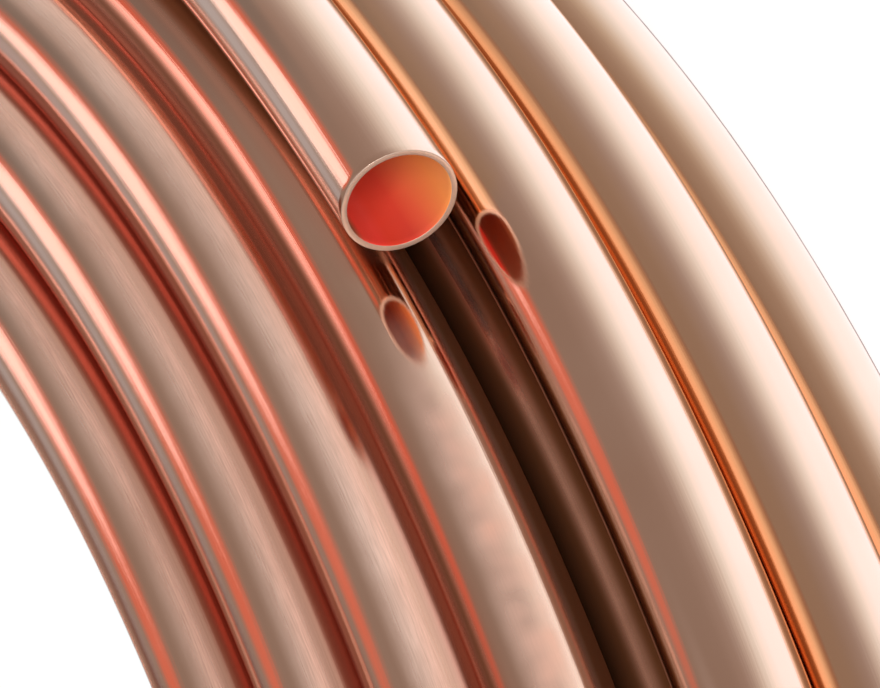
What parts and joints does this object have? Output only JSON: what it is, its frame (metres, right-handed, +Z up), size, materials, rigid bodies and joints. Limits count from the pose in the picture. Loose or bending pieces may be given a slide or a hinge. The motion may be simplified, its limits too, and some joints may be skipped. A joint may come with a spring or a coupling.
{
  "type": "coil of copper tube",
  "caption": "Coil of soft round copper tube wound in layers round an open eye, lying flat, with one square-cut open end on top of the outer layer.",
  "frame": {"origin": "on the floor under the middle of the coil's eye, on the coil's axis", "axes": "+Z up along the coil's axis, out of the end with the open tube end; the open tube end is at the front (-Y) and points to -X"},
  "size_m": [0.821, 0.8209, 0.0783],
  "materials": {
    "copper": "satin, as drawn"
  },
  "bodies": {
    "root": {"copper_coil": "copper"}
  },
  "joints": []
}
